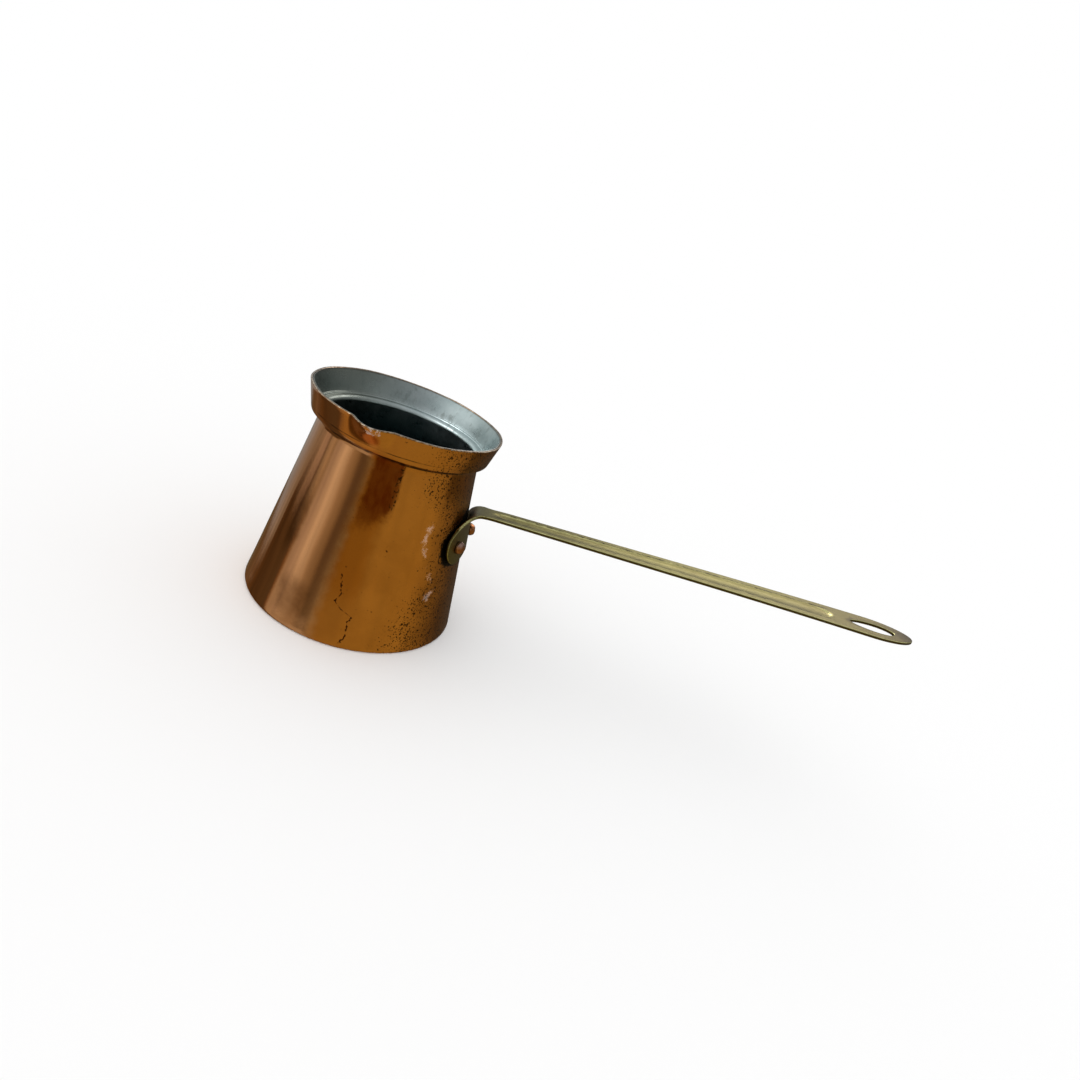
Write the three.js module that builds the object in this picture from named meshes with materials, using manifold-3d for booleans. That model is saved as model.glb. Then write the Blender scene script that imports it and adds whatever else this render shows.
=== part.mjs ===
// A small copper coffee pot with a long brass strip handle.
// Units are millimetres and +Z is up. The origin is the centre of the flat base. The handle points
// along +X and the pouring lip points close to -Y.
// Pieces: the spun copper shell, the tin layer inside it, the brass handle and two copper rivets.

import * as THREE from 'three';
import { mergeVertices } from 'three/addons/utils/BufferGeometryUtils.js';
import Module from 'manifold-3d';

const wasm = await Module();
wasm.setup();

// ---- Driving dimensions -----------------------------------------------------------------------

const DEGREE = Math.PI / 180;
const ROUND_STEPS = 80;          // facets around the pot
const RIVET_STEPS = 20;          // facets around a rivet
const ARC_STEPS = 3;             // facets along a small rounded corner
const FLARE_STEPS = 8;           // rows of facets up the collar, where the lip bends it

// Copper shell
const BASE_RADIUS = 45;          // where the outside wall would meet the floor
const SHEET = 0.9;               // thickness of the copper
const BASE_ROUNDING = 0.9;       // rounding where the wall meets the base
const NECK_HEIGHT = 76.3;        // where the straight wall ends
const NECK_RADIUS = 32.85;
const LEDGE_HEIGHT = 79.05;      // underside of the collar
const LEDGE_RADIUS = 34.6;       // middle of the ledge
const COLLAR_RADIUS = 36.6;      // bottom of the flaring collar
const COLLAR_HEIGHT = 80.6;
const RIM_RADIUS = 39.1;
const RIM_HEIGHT = 90.2;
const RIM_ROUNDING = 0.3;
const FLOOR_ROUNDING = 2;        // rounding inside, where the wall meets the floor

// Pouring lip, pinched outward in the rim
const LIP_AZIMUTH = -94.5 * DEGREE;
const LIP_HALF_ANGLE = 13 * DEGREE;
const LIP_REACH = 4.8;
const LIP_SHARPNESS = 1.6;       // power of the cosine across the lip

// Tin layer
const TIN_GAP = 0.25;            // clearance between the copper and the tin
const TIN_THICKNESS = 0.3;

// Brass handle
const SEAT_GAP = 0.25;           // clearance between the lug plate and the wall
const STRIP = 1.4;               // thickness of the brass strip
const BEND_RADIUS = 6.5;         // radius of the bend on its upper face
const BAR_RISE = 6.53 * DEGREE;  // how steeply the bar climbs away from the pot
const BAR_TOP_AT_AXIS = 56.1;    // height of the bar's upper face, carried back to the pot's axis
const BAR_START_X = 54;          // where the bar has narrowed from the width of the bend
const BAR_START_HALF_WIDTH = 5.6;
const BEND_X = 36.5;
const BEND_HALF_WIDTH = 9;
const BAR_SHOULDER_X = 214;      // where the rounded tip begins
const BAR_HALF_WIDTH = 9.15;
const BAR_TIP_X = 234;
const OVERSHOOT = 5;             // how far the cutting outlines run past the piece they trim

// Hanging slot near the tip
const SLOT_CENTRE_X = 215.9;
const SLOT_HALF_LENGTH = 9.9;
const SLOT_HALF_WIDTH = 3.9;
const SLOT_EGG = 0.18;           // how much fatter the slot is towards the tip

// Flute pressed into the bar's upper face
const FLUTE_START_X = 46;
const FLUTE_END_X = 198;
const FLUTE_START_HALF_WIDTH = 3.0;
const FLUTE_END_HALF_WIDTH = 4.7;
const FLUTE_END_ROUNDING = 9;    // length of each rounded end
const FLUTE_AXIS_HEIGHT = 14;    // height of the flute's sweep axis above the bar

// Lug plate and rivets
const RIVET_AZIMUTH = 16.6 * DEGREE;
const RIVET_HEIGHT = 45.5;
const LUG_LOBE_RADIUS = 7.4;
const LUG_LOBE_Y = 10.6;
const LUG_LOBE_HEIGHT = 45.2;
const LUG_LOBE_START = -100 * DEGREE; // each lobe's arc, seen from the front
const LUG_LOBE_END = 0;
const LUG_BOTTOM_MIDDLE = 39.6;  // the lower edge rises a little between the two lobes
const LUG_TOP = 54.3;
const SHANK_RADIUS = 1.6;
const HOLE_RADIUS = 1.8;
const HEAD_RADIUS = 2.8;
const HEAD_HEIGHT = 2.6;
const HEAD_EDGE = 0.3;           // height of the head's straight edge below its dome
const INNER_HEAD_RADIUS = 3.0;
const INNER_HEAD_HEIGHT = 0.9;
const INNER_HEAD_BEVEL = 0.4;
const HEAD_CLEARANCE = 0.1;      // under the outer head
const INNER_HEAD_CLEARANCE = 0.3; // under the inner head, which lies across a hollow curve

// ---- Helpers ----------------------------------------------------------------------------------

const wallTaper = (BASE_RADIUS - NECK_RADIUS) / NECK_HEIGHT;
const wallLean = Math.atan(wallTaper);
const wallRadius = (height) => BASE_RADIUS - wallTaper * height;

const point = (x, y) => new THREE.Vector2(x, y);

// Points of a rounded corner from one point to another, without the first point.
function corner(from, control, to, steps = ARC_STEPS) {
  return new THREE.QuadraticBezierCurve(from, control, to).getPoints(steps).slice(1);
}

// Points spaced evenly along a straight stretch, without the first point.
function evenly(from, to, steps) {
  return new THREE.LineCurve(from, to).getPoints(steps).slice(1);
}

// Moves an open outline sideways by a distance, keeping every segment parallel to itself.
function shifted(outline, distance) {
  const normals = outline.slice(1).map((next, i) => {
    const along = next.clone().sub(outline[i]).normalize();
    return point(along.y, -along.x);
  });
  return outline.map((here, i) => {
    const before = normals[Math.max(i - 1, 0)];
    const after = normals[Math.min(i, normals.length - 1)];
    const reach = distance / (1 + before.dot(after));
    return here.clone().add(before.clone().add(after).multiplyScalar(reach));
  });
}

// Turns the lathe's own axis, +Y, into +Z.
function turned(outline) {
  return new THREE.LatheGeometry(outline, ROUND_STEPS).rotateX(Math.PI / 2);
}

function toSolid(geometry) {
  geometry.deleteAttribute('normal');
  geometry.deleteAttribute('uv');
  const merged = mergeVertices(geometry, 1e-4);
  return new wasm.Manifold(new wasm.Mesh({
    numProp: 3,
    vertProperties: new Float32Array(merged.attributes.position.array),
    triVerts: new Uint32Array(merged.index.array),
  }));
}

function toGeometry(solid) {
  const mesh = solid.getMesh();
  const geometry = new THREE.BufferGeometry();
  geometry.setAttribute('position', new THREE.BufferAttribute(mesh.vertProperties, 3));
  geometry.setIndex(new THREE.BufferAttribute(mesh.triVerts, 1));
  geometry.computeVertexNormals();
  return geometry;
}

// ---- Pot outlines, as (radius, height) ---------------------------------------------------------

function shellOutside() {
  const baseEdge = point(BASE_RADIUS - BASE_ROUNDING, 0);
  const wallFoot = point(wallRadius(BASE_ROUNDING), BASE_ROUNDING);
  const neck = point(NECK_RADIUS, NECK_HEIGHT);
  const ledge = point(LEDGE_RADIUS, LEDGE_HEIGHT);
  const collar = point(COLLAR_RADIUS, COLLAR_HEIGHT);
  const rim = point(RIM_RADIUS, RIM_HEIGHT - RIM_ROUNDING);
  return [
    point(0, 0),
    baseEdge,
    ...corner(baseEdge, point(BASE_RADIUS, 0), wallFoot),
    neck,
    ...corner(neck, point(wallRadius(LEDGE_HEIGHT), LEDGE_HEIGHT), ledge),
    ...corner(ledge, point(COLLAR_RADIUS - 0.2, LEDGE_HEIGHT), collar),
    ...evenly(collar, rim, FLARE_STEPS),
    point(RIM_RADIUS - RIM_ROUNDING, RIM_HEIGHT),
  ];
}

// From the rim down to the middle of the floor.
function shellInside() {
  const ledgeHeight = LEDGE_HEIGHT + SHEET;
  const rim = point(RIM_RADIUS - SHEET, RIM_HEIGHT - RIM_ROUNDING / 2);
  const collar = point(COLLAR_RADIUS - SHEET, COLLAR_HEIGHT + RIM_ROUNDING);
  const ledge = point(LEDGE_RADIUS - RIM_ROUNDING, ledgeHeight);
  const neck = point(wallRadius(NECK_HEIGHT) - SHEET, NECK_HEIGHT);
  const footHeight = SHEET + FLOOR_ROUNDING;
  const wallFoot = point(wallRadius(footHeight) - SHEET, footHeight);
  const floorEdge = point(BASE_RADIUS - SHEET - FLOOR_ROUNDING, SHEET);
  return [
    rim,
    ...evenly(rim, collar, FLARE_STEPS),
    ...corner(collar, point(collar.x - 0.2, ledgeHeight), ledge, 2),
    ...corner(ledge, point(neck.x - 0.2, ledgeHeight - 0.2), neck, 4),
    wallFoot,
    ...corner(wallFoot, point(BASE_RADIUS - SHEET, SHEET), floorEdge),
    point(0, SHEET),
  ];
}

// Pinches the pouring lip into a turned collar.
function pinchLip(geometry) {
  const position = geometry.attributes.position;
  for (let i = 0; i < position.count; i += 1) {
    const x = position.getX(i);
    const y = position.getY(i);
    const z = position.getZ(i);
    const azimuth = Math.atan2(y, x);
    const across = Math.abs(azimuth - LIP_AZIMUTH) / LIP_HALF_ANGLE;
    if (across < 1 && z > COLLAR_HEIGHT) {
      const rise = THREE.MathUtils.smoothstep(z, COLLAR_HEIGHT, RIM_HEIGHT);
      const amount = Math.cos(across * Math.PI / 2) ** LIP_SHARPNESS * rise;
      const stretch = 1 + LIP_REACH * amount / Math.hypot(x, y);
      position.setXYZ(i, x * stretch, y * stretch, z);
    }
  }
  return geometry;
}

// ---- Rivets -----------------------------------------------------------------------------------

// A rivet lies along +Y, with the outside of the pot's wall at y = 0.
function rivetGeometry() {
  const underHead = SEAT_GAP + STRIP + HEAD_CLEARANCE;
  const underInnerHead = -(SHEET + TIN_GAP + TIN_THICKNESS + INNER_HEAD_CLEARANCE);
  const innerTop = underInnerHead - INNER_HEAD_HEIGHT;
  const domeHeight = HEAD_HEIGHT - HEAD_EDGE;
  const domeFoot = underHead + HEAD_EDGE;
  const dome = new THREE.EllipseCurve(0, domeFoot, HEAD_RADIUS, domeHeight, 0, Math.PI / 2);
  return new THREE.LatheGeometry([
    point(0, innerTop),
    point(INNER_HEAD_RADIUS - INNER_HEAD_BEVEL, innerTop),
    point(INNER_HEAD_RADIUS, innerTop + INNER_HEAD_BEVEL),
    point(INNER_HEAD_RADIUS, underInnerHead),
    point(SHANK_RADIUS, underInnerHead),
    point(SHANK_RADIUS, underHead),
    point(HEAD_RADIUS, underHead),
    ...dome.getPoints(6).slice(0, -1),
    point(0, underHead + HEAD_HEIGHT),
  ], RIVET_STEPS);
}

// Stands an object that lies along +Y square on the wall at a rivet's place.
function placeOnWall(object, side) {
  const azimuth = side * RIVET_AZIMUTH;
  const radius = wallRadius(RIVET_HEIGHT);
  const outward = new THREE.Vector3(
    Math.cos(wallLean) * Math.cos(azimuth),
    Math.cos(wallLean) * Math.sin(azimuth),
    Math.sin(wallLean),
  );
  object.position.set(radius * Math.cos(azimuth), radius * Math.sin(azimuth), RIVET_HEIGHT);
  object.quaternion.setFromUnitVectors(new THREE.Vector3(0, 1, 0), outward);
  object.updateMatrix();
  return object;
}

function rivetHole(side) {
  const length = 12;
  const drill = new THREE.Mesh(
    new THREE.CylinderGeometry(HOLE_RADIUS, HOLE_RADIUS, length, RIVET_STEPS));
  placeOnWall(drill, side);
  return toSolid(drill.geometry.applyMatrix4(drill.matrix));
}

function drilled(solid) {
  return solid.subtract(rivetHole(-1)).subtract(rivetHole(1));
}

// ---- Handle -----------------------------------------------------------------------------------

const barTop = (x) => BAR_TOP_AT_AXIS + Math.tan(BAR_RISE) * x;

// The strip seen from the side: up the wall, round the bend and out along the bar.
function stripSide() {
  const fromWall = point(Math.cos(wallLean), Math.sin(wallLean));
  const belowBar = point(Math.sin(BAR_RISE), -Math.cos(BAR_RISE));
  const seatX = (z) => wallRadius(z) + SEAT_GAP / Math.cos(wallLean);
  // The two faces' lines cross at the corner that the bend rounds off.
  const slope = Math.tan(BAR_RISE);
  const cornerZ = (BAR_TOP_AT_AXIS + slope * seatX(0)) / (1 + slope * wallTaper);
  const cornerPoint = point(seatX(cornerZ), cornerZ);
  const reach = BEND_RADIUS / (1 + fromWall.dot(belowBar));
  const centre = cornerPoint.clone().add(fromWall.clone().add(belowBar).multiplyScalar(reach));
  const wallAngle = Math.PI + wallLean;
  const barAngle = Math.PI / 2 + BAR_RISE;
  const stripEnd = BAR_TIP_X + OVERSHOOT;
  const overlap = 0.8;             // how far the strip runs down behind the bend, into the lug
  const along = point(fromWall.y, -fromWall.x);
  const bendArc = (radius, from, to, clockwise) => (
    new THREE.EllipseCurve(centre.x, centre.y, radius, radius, from, to, clockwise).getPoints(9)
  );
  const upper = bendArc(BEND_RADIUS, wallAngle, barAngle, true);
  const lower = bendArc(BEND_RADIUS - STRIP, barAngle, wallAngle, false);
  return new THREE.Shape([
    upper[0].clone().add(along.clone().multiplyScalar(overlap)),
    ...upper,
    point(stripEnd, barTop(stripEnd)),
    point(stripEnd, barTop(stripEnd) - STRIP / Math.cos(BAR_RISE)),
    ...lower,
    lower[lower.length - 1].clone().add(along.clone().multiplyScalar(overlap)),
  ]);
}

// The strip seen from above: it widens slowly and ends in a rounded tip.
function barPlan() {
  const tipLength = BAR_TIP_X - BAR_SHOULDER_X;
  const tip = new THREE.EllipseCurve(
    BAR_SHOULDER_X, 0, tipLength, BAR_HALF_WIDTH, -Math.PI / 2, Math.PI / 2);
  const bend = point(BEND_X, BEND_HALF_WIDTH);
  const start = point(BAR_START_X, BAR_START_HALF_WIDTH);
  const hollow = point(BEND_X + BEND_RADIUS, BAR_START_HALF_WIDTH - 0.3);
  const flare = [bend, ...corner(bend, hollow, start, 5)];
  const far = [point(BEND_X - OVERSHOOT, BEND_HALF_WIDTH), ...flare];
  const near = far.map((p) => point(p.x, -p.y));
  return new THREE.Shape([...near, ...tip.getPoints(20), ...far.reverse()]);
}

function slotPlan() {
  const steps = 28;
  const outline = [];
  for (let i = 0; i < steps; i += 1) {
    const turn = 2 * Math.PI * i / steps;
    const egg = 1 + SLOT_EGG * Math.cos(turn);
    outline.push(point(
      SLOT_CENTRE_X + SLOT_HALF_LENGTH * Math.cos(turn),
      SLOT_HALF_WIDTH * Math.sin(turn) * egg,
    ));
  }
  return new THREE.Shape(outline);
}

// The lug plate seen from the front, as (y, z): two lobes around the rivets, narrowing to the strip.
function lugFront() {
  const lobe = new THREE.EllipseCurve(
    LUG_LOBE_Y, LUG_LOBE_HEIGHT,
    LUG_LOBE_RADIUS, LUG_LOBE_RADIUS,
    LUG_LOBE_START, LUG_LOBE_END,
  ).getPoints(12);
  const widest = lobe[lobe.length - 1];
  const strip = point(BEND_HALF_WIDTH, LUG_TOP + 0.3);
  const flank = new THREE.CubicBezierCurve(
    widest, point(widest.x, widest.y + 4.5), point(strip.x + 2.5, strip.y - 2), strip);
  const right = [...lobe, ...flank.getPoints(8).slice(1)];
  const left = right.map((p) => point(-p.x, p.y)).reverse();
  return new THREE.Shape([point(0, LUG_BOTTOM_MIDDLE), ...right, ...left]);
}

// A band of sheet lying on the pot's conical wall.
function wallBand() {
  const inner = SEAT_GAP / Math.cos(wallLean);
  const outer = (SEAT_GAP + STRIP) / Math.cos(wallLean);
  const low = LUG_LOBE_HEIGHT - LUG_LOBE_RADIUS - 1;
  return toSolid(turned([
    point(wallRadius(low) + inner, low),
    point(wallRadius(low) + outer, low),
    point(wallRadius(LUG_TOP) + outer, LUG_TOP),
    point(wallRadius(LUG_TOP) + inner, LUG_TOP),
    point(wallRadius(low) + inner, low),
  ]));
}

// Turned about the bar's own long axis, so that its skin dips into the bar's upper face.
function fluteCutter() {
  const steps = 24;
  const length = (FLUTE_END_X - FLUTE_START_X) / Math.cos(BAR_RISE);
  const outline = [point(0, 0)];
  for (let i = 0; i <= steps; i += 1) {
    const along = length * (1 - Math.cos(Math.PI * i / steps)) / 2;
    const fromEnd = Math.min(along, length - along, FLUTE_END_ROUNDING) / FLUTE_END_ROUNDING;
    const widening = (FLUTE_END_HALF_WIDTH - FLUTE_START_HALF_WIDTH) * along / length;
    const halfWidth = (FLUTE_START_HALF_WIDTH + widening) * Math.sqrt(1 - (1 - fromEnd) ** 2);
    outline.push(point(Math.hypot(FLUTE_AXIS_HEIGHT, halfWidth), along));
  }
  outline.push(point(0, length));
  const cutter = new THREE.LatheGeometry(outline, 120)
    .rotateZ(-Math.PI / 2)
    .translate(0, FLUTE_AXIS_HEIGHT, 0)
    .rotateX(Math.PI / 2)
    .rotateY(-BAR_RISE)
    .translate(FLUTE_START_X, 0, barTop(FLUTE_START_X));
  return toSolid(cutter);
}

function prism(shape, depth) {
  return new THREE.ExtrudeGeometry(shape, { depth, bevelEnabled: false });
}

// A cutting prism over an outline drawn in the plan view, tall enough to pass through the bar.
function uprightPrism(shape) {
  return toSolid(prism(shape, RIM_HEIGHT));
}

// A cutting prism over an outline drawn as (y, z), on the handle's side of the pot only.
function forwardPrism(shape) {
  const yzx = new THREE.Matrix4().makeBasis(
    new THREE.Vector3(0, 1, 0),
    new THREE.Vector3(0, 0, 1),
    new THREE.Vector3(1, 0, 0),
  );
  return toSolid(prism(shape, BASE_RADIUS + OVERSHOOT).applyMatrix4(yzx));
}

function handleSolid() {
  const sideways = 2 * BAR_HALF_WIDTH + OVERSHOOT;
  const side = prism(stripSide(), sideways).rotateX(Math.PI / 2).translate(0, sideways / 2, 0);
  const bar = toSolid(side).intersect(uprightPrism(barPlan()));
  const lug = wallBand().intersect(forwardPrism(lugFront()));
  return drilled(bar.add(lug).subtract(uprightPrism(slotPlan())).subtract(fluteCutter()));
}

// ---- Assembly ---------------------------------------------------------------------------------

function piece(name, geometry, color, roughness) {
  const material = new THREE.MeshStandardMaterial({ color, roughness, metalness: 1 });
  const mesh = new THREE.Mesh(geometry, material);
  mesh.name = name;
  return mesh;
}

const inside = shellInside();
const shell = pinchLip(turned([...shellOutside(), ...inside]));
const tinOutside = shifted(inside, TIN_GAP).reverse();
const tinInside = shifted(inside, TIN_GAP + TIN_THICKNESS);
const tin = pinchLip(turned([...tinOutside, ...tinInside]));

const pot = new THREE.Group();
pot.add(piece('pot_body', toGeometry(drilled(toSolid(shell))), 0xb8713f, 0.25));
pot.add(piece('tin_lining', toGeometry(drilled(toSolid(tin))), 0x8d9698, 0.35));
pot.add(piece('handle', toGeometry(handleSolid()), 0xa39a52, 0.38));
pot.add(placeOnWall(piece('rivet_left', rivetGeometry(), 0xb4673c, 0.3), -1));
pot.add(placeOnWall(piece('rivet_right', rivetGeometry(), 0xb4673c, 0.3), 1));

export default pot;
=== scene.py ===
# A small copper coffee pot with a long brass strip handle, standing on a pale floor.
# Shapes are worked out in millimetres and scaled to metres when a mesh is made. The frame is the
# CAD's: the origin is the centre of the base, +Z is up and the handle points along +X.

import math

import bpy
import numpy as np
from mathutils import Matrix, Vector, geometry, noise


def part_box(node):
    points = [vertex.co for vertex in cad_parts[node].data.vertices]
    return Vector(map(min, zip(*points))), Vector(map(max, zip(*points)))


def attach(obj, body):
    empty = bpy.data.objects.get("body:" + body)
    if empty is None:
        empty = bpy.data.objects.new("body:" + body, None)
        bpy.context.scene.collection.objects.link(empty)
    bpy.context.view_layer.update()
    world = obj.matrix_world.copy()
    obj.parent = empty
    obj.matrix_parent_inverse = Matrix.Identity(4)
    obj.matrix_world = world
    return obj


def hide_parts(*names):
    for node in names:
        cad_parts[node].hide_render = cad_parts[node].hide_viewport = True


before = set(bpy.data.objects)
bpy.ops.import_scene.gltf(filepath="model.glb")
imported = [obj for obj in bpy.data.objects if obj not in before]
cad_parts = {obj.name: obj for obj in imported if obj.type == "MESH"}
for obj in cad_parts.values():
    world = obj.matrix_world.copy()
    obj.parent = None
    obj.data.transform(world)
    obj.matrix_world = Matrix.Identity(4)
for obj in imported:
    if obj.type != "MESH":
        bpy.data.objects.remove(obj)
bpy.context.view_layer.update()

MM = 0.001

# ---- Dimensions, in millimetres ----

BASE_RADIUS = 45.0
SHEET = 0.9
NECK_HEIGHT = 76.3
NECK_RADIUS = 32.85
LEDGE_HEIGHT = 79.05
COLLAR_RADIUS = 36.6
COLLAR_HEIGHT = 80.6
RIM_RADIUS = 39.1
RIM_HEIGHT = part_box("pot_body")[1].z / MM
WALL_TAPER = (BASE_RADIUS - NECK_RADIUS) / NECK_HEIGHT
WALL_LEAN = math.atan(WALL_TAPER)
TIN_OFFSET = 1.45               # from the copper's outside to the tin's inside
TIN_THICKNESS = 0.3

LIP_AZIMUTH = math.radians(-94.5)
LIP_LEFT = math.radians(14)     # how far the lip spreads to each side of its apex
LIP_RIGHT = math.radians(12.5)
LIP_REACH = 4.8
LIP_SHARPNESS = 1.6

SEAT_GAP = 0.25
STRIP = 1.4
BEND_RADIUS = 6.5
BAR_RISE = math.radians(6.53)
BAR_TOP_AT_AXIS = 56.1
WAIST_S = 7.2                   # where the strip narrows, round the bend
WAIST_HALF_WIDTHS = (6.9, 8.3)  # on the side away from the lip, and on the lip's side
BAR_START_X = 54.0
BAR_START_HALF_WIDTH = 5.6
BAR_SHOULDER_X = 214.0
BAR_HALF_WIDTH = 9.15
BAR_TIP_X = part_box("handle")[1].x / MM
BOW = 2.3                       # how far the tip has been bent sideways
BOW_START_X = 140.0
EDGE_ROUNDING = 0.42

SLOT_X = 215.9
SLOT_HALF_LENGTH = 9.9
SLOT_HALF_WIDTH = 3.9
SLOT_EGG = 0.18

FLUTE_START_X = 46.0
FLUTE_END_X = 198.0
FLUTE_HALF_WIDTHS = (3.0, 4.9)
FLUTE_ROUNDING = 9.0
FLUTE_DEPTH = 0.75

RIVET_AZIMUTH = math.radians(16.6)
RIVET_HEIGHT = 45.5
LOBE_Y = 10.6
LOBE_HEIGHT = 45.2
LOBE_RADIUS = 7.4
LUG_BOTTOM_MIDDLE = 39.6
LUG_WRAP = 0.87                 # 1 hugs the wall; less lets the plate's edges stand off it
HOLE_RADIUS = 1.8
SHANK_RADIUS = 1.6
HEAD_RADIUS = 2.8
HEAD_HEIGHT = 2.6
HEAD_CLEARANCE = 0.35           # the plate's edges stand off the wall, so the heads do too
INNER_HEAD_RADIUS = 3.0
INNER_HEAD_HEIGHT = 0.9
INNER_HEAD_CLEARANCE = 0.2      # under the inner head, which lies across a hollow curve
BIT_BOTTOM = -4.0               # the drill's ends, measured out from the wall's outside
BIT_TOP = 3.0

# Unevenness of the hand-worked surfaces, as (most change of radius or height, size of a bump).
WALL_RIPPLE = (0.16, 17.0)
WALL_RIPPLE_START = (2, 8)      # the heights that it grows between
WALL_RIPPLE_END = (72, 77)      # and dies away between
COLLAR_RIPPLE = (0.3, 14.0)
RIM_WAVE = (0.22, 12.0)
HAMMER_DENTS = (0.22, 1.6)
RIPPLE_STRETCH = 0.45           # below 1, bumps are longer up the pot than round it

# ---- Mesh fineness, in millimetres where it isn't a count ----

POT_SEGMENTS = 320
RIVET_SEGMENTS = 48
HOLE_SEGMENTS = 28
SLOT_SEGMENTS = 160
SHARP_ANGLE = math.radians(38)
HANDLE_EDGE_SPACING = 0.6
SLOT_EDGE_SPACING = 0.45
GRID_ALONG = 1.15               # points inside the strip's broad faces
GRID_ACROSS = 0.8
GRID_STAGGER = 0.29             # every other row is moved along by this
FLUTE_LINE_SPACING = 0.8
FLUTE_LINES = (-0.25, 0, 0.25)  # lines of points beside and on the flute's border
EDGE_LINE_INSET = 0.22
LINE_CLEARANCE = 0.35           # the least gap from a grid point to a line
EDGE_CLEARANCE = 0.16           # the least gap from any point to an edge


def wall_radius(height):
    return BASE_RADIUS - WALL_TAPER * height


def smooth(value, low, high):
    t = np.clip((value - low) / (high - low), 0, 1)
    return t * t * (3 - 2 * t)


# ---- Mesh helpers ----


def add_object(name, data):
    made = bpy.data.objects.new(name, data)
    bpy.context.scene.collection.objects.link(made)
    return made


def make_object(name, points, faces):
    """A smooth-shaded piece from points in millimetres and faces."""
    mesh = bpy.data.meshes.new(name)
    mesh.from_pydata((np.asarray(points) * MM).tolist(), [], [tuple(map(int, f)) for f in faces])
    mesh.validate()
    mesh.update()
    mesh.shade_smooth()
    mesh.set_sharp_from_angle(angle=SHARP_ANGLE)
    return add_object(name, mesh)


def rounded(corners, arc_step=0.35):
    """A polyline whose corners, given as (x, y, radius), are replaced by arcs."""
    path = [np.array(corners[0][:2], float)]
    for i in range(1, len(corners) - 1):
        here = np.array(corners[i][:2], float)
        radius = corners[i][2]
        to_last = np.array(corners[i - 1][:2], float) - here
        to_next = np.array(corners[i + 1][:2], float) - here
        to_last /= np.linalg.norm(to_last)
        to_next /= np.linalg.norm(to_next)
        half = math.acos(np.clip(to_last @ to_next, -1, 1)) / 2
        if radius <= 0 or half > math.pi / 2 - 0.01:
            path.append(here)
            continue
        inward = to_last + to_next
        centre = here + inward / np.linalg.norm(inward) * radius / math.sin(half)
        start = here + to_last * radius / math.tan(half) - centre
        turn = math.pi - 2 * half
        side = np.sign(start[1] * to_last[0] - start[0] * to_last[1])
        steps = max(3, int(math.ceil(radius * turn / arc_step)))
        for k in range(steps + 1):
            a = side * turn * k / steps
            cos, sin = math.cos(a), math.sin(a)
            from_centre = [cos * start[0] - sin * start[1], sin * start[0] + cos * start[1]]
            path.append(centre + np.array(from_centre))
    path.append(np.array(corners[-1][:2], float))
    return path


def refined(path, longest):
    """The same polyline with its long segments split."""
    out = [path[0]]
    for a, b in zip(path, path[1:]):
        steps = max(1, int(math.ceil(np.linalg.norm(b - a) / longest)))
        out.extend(a + (b - a) * k / steps for k in range(1, steps + 1))
    return out


def shifted(path, distance):
    """The polyline moved sideways, to its right."""
    path = np.asarray(path)
    along = np.diff(path, axis=0)
    along /= np.linalg.norm(along, axis=1)[:, None]
    normal = np.stack([along[:, 1], -along[:, 0]], 1)
    first = np.vstack([normal[:1], normal])
    second = np.vstack([normal, normal[-1:]])
    total = first + second
    return path + total * (distance / (1 + (first * second).sum(1)))[:, None]


def turned(outline, segments, reshape=None):
    """Points and faces of an outline of (radius, height), turned about Z.

    The outline starts and ends on the axis. reshape may move the points before they are placed.
    """
    outline = np.asarray(outline)
    inner = outline[1:-1]
    angle = np.arange(segments) * 2 * math.pi / segments
    radius = np.repeat(inner[:, 0], segments)
    height = np.repeat(inner[:, 1], segments)
    angle = np.tile(angle, len(inner))
    if reshape:
        radius, height = reshape(radius, height, angle)
    ring = np.stack([radius * np.cos(angle), radius * np.sin(angle), height], 1)
    points = np.vstack([ring, [[0, 0, outline[0][1]], [0, 0, outline[-1][1]]]])
    faces = []
    first_pole, last_pole = len(ring), len(ring) + 1
    for j in range(segments):
        k = (j + 1) % segments
        faces.append((first_pole, k, j))
        for i in range(len(inner) - 1):
            a, b = i * segments, (i + 1) * segments
            faces.append((a + j, a + k, b + k, b + j))
        last = (len(inner) - 1) * segments
        faces.append((last_pole, last + j, last + k))
    return points, faces


# ---- Pot ----


def lip_amount(height, angle):
    """How much of the lip's pinch a point on the collar takes, from 0 to 1."""
    off = (angle - LIP_AZIMUTH + math.pi) % (2 * math.pi) - math.pi
    across = np.abs(off) / np.where(off < 0, LIP_LEFT, LIP_RIGHT)
    bump = np.maximum(np.cos(np.clip(across, 0, 1) * math.pi / 2), 0) ** LIP_SHARPNESS
    return bump * smooth(height, COLLAR_HEIGHT, RIM_HEIGHT)


def ripple(radius, height, angle, amount, size):
    """Slow unevenness left by spinning and by knocks, as a distance to move each point."""
    x, y = radius * np.cos(angle), radius * np.sin(angle)
    z = height * RIPPLE_STRETCH
    wave = [noise.noise(Vector(place) / size) for place in zip(x, y, z)]
    return np.array(wave) * amount


def shape_pot(radius, height, angle):
    """Draws out the lip, and makes the wall, collar and rim uneven. The base stays flat."""
    lip = LIP_REACH * lip_amount(height, angle)
    on_wall = smooth(height, *WALL_RIPPLE_START) * (1 - smooth(height, *WALL_RIPPLE_END))
    on_collar = smooth(height, COLLAR_HEIGHT, RIM_HEIGHT)
    level, other_level = np.zeros_like(height), np.full_like(height, 40)
    uneven = ripple(radius, height, angle, *WALL_RIPPLE) * on_wall
    uneven = uneven + ripple(radius, level, angle, *COLLAR_RIPPLE) * on_collar
    wavy_rim = ripple(radius, other_level, angle, *RIM_WAVE) * on_collar
    return radius + lip + uneven, height + wavy_rim


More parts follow.
